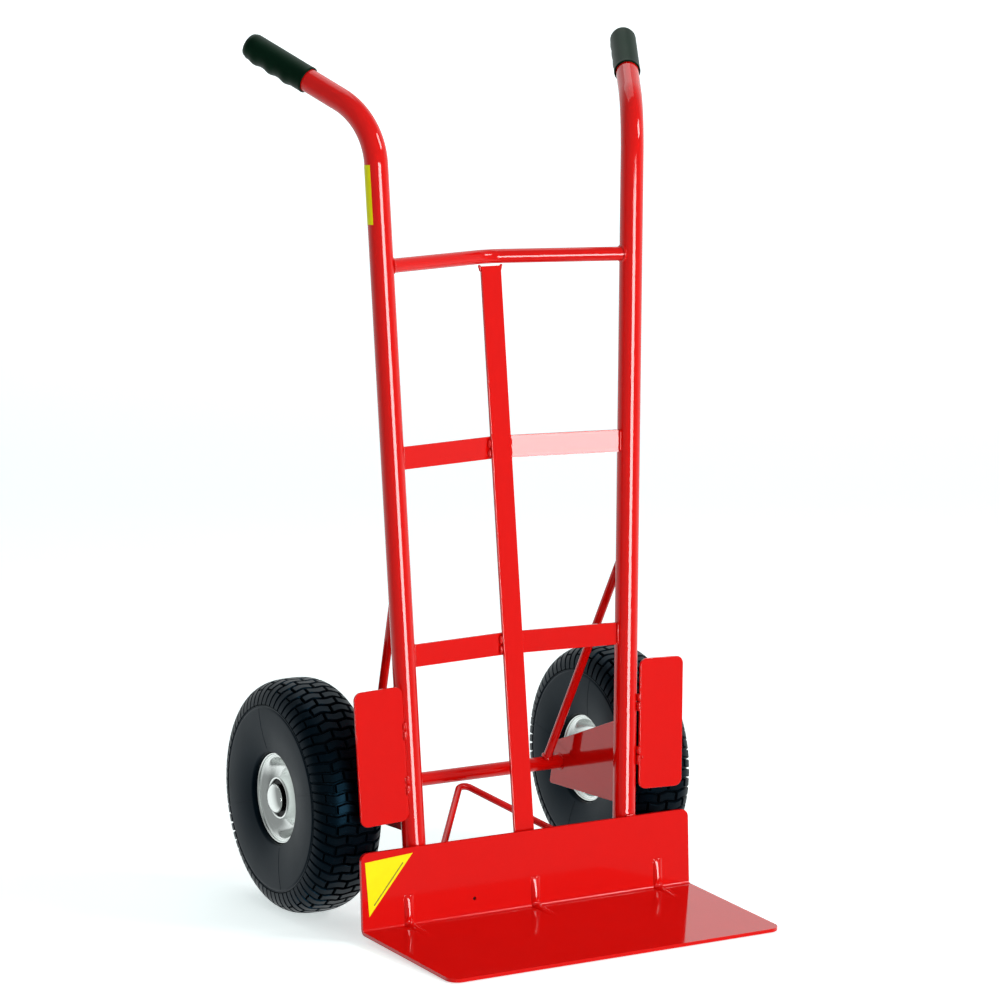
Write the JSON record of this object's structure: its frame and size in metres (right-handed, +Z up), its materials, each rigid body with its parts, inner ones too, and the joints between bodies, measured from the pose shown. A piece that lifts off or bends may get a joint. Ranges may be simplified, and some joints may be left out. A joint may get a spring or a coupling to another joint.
{
  "type": "hand truck",
  "caption": "Upright hand truck with a folded toe plate, splayed tube handles, a strap and cross bar back frame, and pneumatic tyres on pressed steel wheels.",
  "frame": {"origin": "on the floor, under the middle of the truck's box", "axes": "+Z up, -Y towards the toe plate and its load, +Y towards the user, X along the axle"},
  "size_m": [0.5014, 0.4818, 0.9746],
  "materials": {
    "red_paint": "gloss powder coat",
    "grip_rubber": "moulded, satin",
    "tyre": "moulded rubber",
    "zinc": "bright zinc plated",
    "bearing_steel": "ground steel"
  },
  "bodies": {
    "frame": {"left_upright": "red_paint", "right_upright": "red_paint", "left_grip": "grip_rubber", "right_grip": "grip_rubber", "top_cross_bar": "red_paint", "middle_cross_bar": "red_paint", "lower_cross_bar": "red_paint", "centre_strap": "red_paint", "toe_plate": "red_paint", "left_guard": "red_paint", "right_guard": "red_paint", "left_axle_bracket": "red_paint", "right_axle_bracket": "red_paint", "axle": "red_paint", "left_brace": "red_paint", "right_brace": "red_paint", "toe_stay": "red_paint", "left_spacer_sleeve": "red_paint", "left_inner_washer": "zinc", "left_outer_washer": "zinc", "left_axle_cap": "zinc", "right_spacer_sleeve": "red_paint", "right_inner_washer": "zinc", "right_outer_washer": "zinc", "right_axle_cap": "zinc"},
    "left_wheel": {"left_tyre": "tyre", "left_inner_tube": "tyre", "left_rim_outer_half": "zinc", "left_rim_inner_half": "zinc", "left_outer_disc": "zinc", "left_inner_disc": "zinc", "left_hub_tube": "zinc", "left_outer_bearing": "bearing_steel", "left_inner_bearing": "bearing_steel", "left_valve_stem": "tyre", "left_valve_cap": "tyre"},
    "right_wheel": {"right_tyre": "tyre", "right_inner_tube": "tyre", "right_rim_outer_half": "zinc", "right_rim_inner_half": "zinc", "right_outer_disc": "zinc", "right_inner_disc": "zinc", "right_hub_tube": "zinc", "right_outer_bearing": "bearing_steel", "right_inner_bearing": "bearing_steel", "right_valve_stem": "tyre", "right_valve_cap": "tyre"}
  },
  "joints": [
    {"name": "left_wheel_spin", "type": "hinge", "parent": "frame", "child": "left_wheel", "pos_m": [-0.20104, 0.11085, 0.13], "axis": [1, 0, 0], "continuous": true},
    {"name": "right_wheel_spin", "type": "hinge", "parent": "frame", "child": "right_wheel", "pos_m": [0.20104, 0.11085, 0.13], "axis": [1, 0, 0], "continuous": true}
  ]
}
